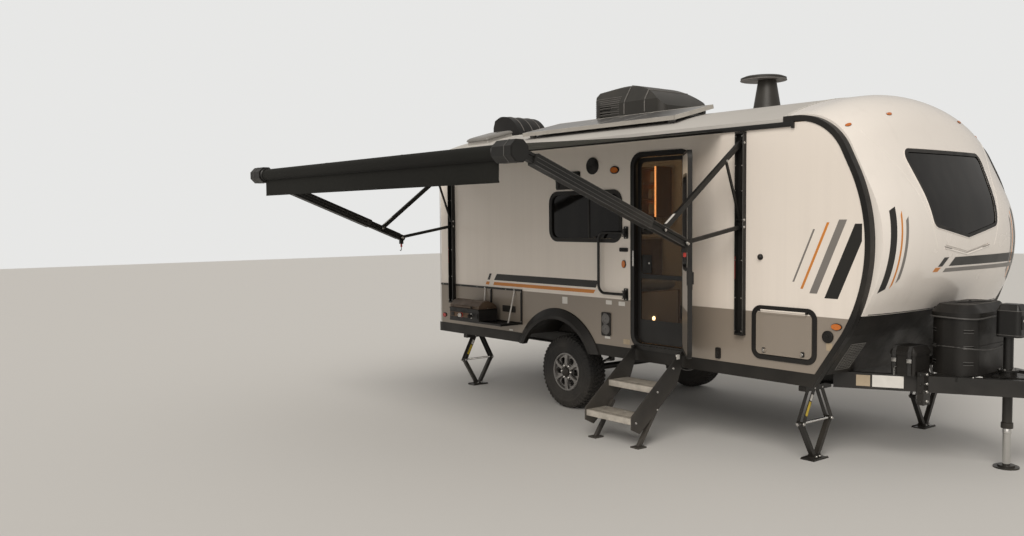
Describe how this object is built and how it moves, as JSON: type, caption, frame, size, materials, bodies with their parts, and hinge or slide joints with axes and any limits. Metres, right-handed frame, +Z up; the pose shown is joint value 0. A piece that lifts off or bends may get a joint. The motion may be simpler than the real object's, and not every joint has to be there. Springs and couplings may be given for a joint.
{
  "type": "travel caravan",
  "caption": "Single-axle travel caravan with a moulded front cap, an open entry door, folding steps and a side awning let out.",
  "frame": {"origin": "centre of the tow ball in the coupler, 600 mm above the road", "axes": "+X forward to the towing vehicle, +Y to the trailer's left (the side away from the door), +Z up"},
  "size_m": [6.635, 4.6569, 3.2404],
  "materials": {
    "wall_white": "gloss white side sheet with a taupe lower band",
    "cap_white": "gelcoat",
    "roof_membrane": "white roof membrane",
    "floor_board": "sealed board",
    "black_plastic": "grained black plastic",
    "black_metal": "black paint",
    "dark_glass": "tinted",
    "white_trim": "white powder coat",
    "insect_mesh": "fine black insect screen",
    "step_metal": "black paint with grey gritted treads",
    "tyre": "rubber",
    "alloy": "machined and lacquered",
    "bare_steel": "worn zinc",
    "awning_cloth": "coated woven cloth",
    "awning_metal": "black powder coat",
    "amber_lens": "amber lens",
    "red_lens": "red lens",
    "ac_white": "moulded shroud",
    "solar": "dark cells in an aluminium frame",
    "clear_white": "translucent white lid",
    "griddle_steel": "seasoned steel",
    "lid_brown": "brown enamel",
    "cabinet_wood": "wood-grain laminate",
    "mattress_cloth": "quilted cloth",
    "bumper_metal": "black paint"
  },
  "bodies": {
    "root": {"arch_flares": "black_plastic", "awning_arms": "awning_metal", "awning_fabric": "awning_cloth", "awning_roller": "awning_metal", "axle": "black_metal", "baggage_frames": "black_plastic", "battery_box": "black_plastic", "cabinets": "cabinet_wood", "chassis_frame": "black_metal", "coupler": "black_metal", "crossmembers": "black_metal", "dinette": "cabinet_wood", "door_frame": "black_metal", "drawbar": "black_metal", "eave_rails": "white_trim", "floor_panel": "floor_board", "front_cap": "cap_white", "front_guard": "black_plastic", "front_trims": "black_plastic", "gas_bottle_cover": "black_plastic", "griddle": "griddle_steel", "griddle_shelf": "black_metal", "leaf_springs": "black_metal", "marker_lights": "amber_lens", "mattress": "mattress_cloth", "rear_bumper": "bumper_metal", "rear_wall": "wall_white", "roof_air_conditioner": "ac_white", "roof_antenna": "ac_white", "roof_panel": "roof_membrane", "roof_vent_cover": "black_plastic", "side_skirts": "black_plastic", "side_wall_left": "wall_white", "side_wall_right": "wall_white", "solar_panel": "solar", "spare_tyre": "tyre", "spare_wheel": "alloy", "stabilisers": "black_metal", "tail_lights": "red_lens", "tongue_jack": "black_metal", "wall_fittings": "black_plastic", "wheel_housings": "black_plastic", "window_frames": "black_plastic", "window_panes": "dark_glass"},
    "wheel_right": {"wheel_right": "alloy", "tyre_right": "tyre"},
    "wheel_left": {"wheel_left": "alloy", "tyre_left": "tyre"},
    "entry_door": {"entry_door": "wall_white", "entry_door_trim": "black_plastic", "entry_door_window": "dark_glass"},
    "screen_door": {"screen_door": "black_metal", "screen_mesh": "insect_mesh"},
    "entry_steps": {"entry_steps": "step_metal"},
    "baggage_door_right": {"baggage_door_right": "wall_white"},
    "baggage_door_left": {"baggage_door_left": "wall_white"},
    "griddle_lid": {"griddle_lid": "lid_brown"},
    "grab_handle": {"grab_handle": "black_metal"},
    "roof_vent_lid": {"roof_vent_lid": "clear_white"}
  },
  "joints": [
    {"name": "wheel_right_spin", "type": "hinge", "parent": "root", "child": "wheel_right", "pos_m": [-4.3, -0.905, -0.235], "axis": [0, 1, 0], "continuous": true},
    {"name": "wheel_left_spin", "type": "hinge", "parent": "root", "child": "wheel_left", "pos_m": [-4.3, 0.905, -0.235], "axis": [0, 1, 0], "continuous": true},
    {"name": "entry_door_hinge", "type": "hinge", "parent": "root", "child": "entry_door", "pos_m": [-2.632, -1.134, 1], "axis": [0, 0, 1], "range_deg": [-135, 0]},
    {"name": "screen_door_hinge", "type": "hinge", "parent": "root", "child": "screen_door", "pos_m": [-2.632, -1.134, 1], "axis": [0, 0, 1], "range_deg": [0, 130]},
    {"name": "entry_steps_hinge", "type": "hinge", "parent": "root", "child": "entry_steps", "pos_m": [-2.9615, -1.15, 0.135], "axis": [-1, 0, 0], "range_deg": [0, 126]},
    {"name": "baggage_door_right_hinge", "type": "hinge", "parent": "root", "child": "baggage_door_right", "pos_m": [-1.685, -1.134, 0.566], "axis": [-1, 0, 0], "range_deg": [0, 170]},
    {"name": "baggage_door_left_hinge", "type": "hinge", "parent": "root", "child": "baggage_door_left", "pos_m": [-1.685, 1.134, 0.566], "axis": [1, 0, 0], "range_deg": [0, 170]},
    {"name": "griddle_lid_hinge", "type": "hinge", "parent": "root", "child": "griddle_lid", "pos_m": [-5.45, -1.158, 0.353], "axis": [-1, 0, 0], "range_deg": [0, 60]},
    {"name": "grab_handle_hinge", "type": "hinge", "parent": "root", "child": "grab_handle", "pos_m": [-3.355, -1.15, 0.88], "axis": [0, 0, 1], "range_deg": [0, 90]},
    {"name": "roof_vent_lid_hinge", "type": "hinge", "parent": "root", "child": "roof_vent_lid", "pos_m": [-5.66, -0.74065, 2.21144], "axis": [0, 0.9657, 0.2596], "range_deg": [0, 65]}
  ]
}
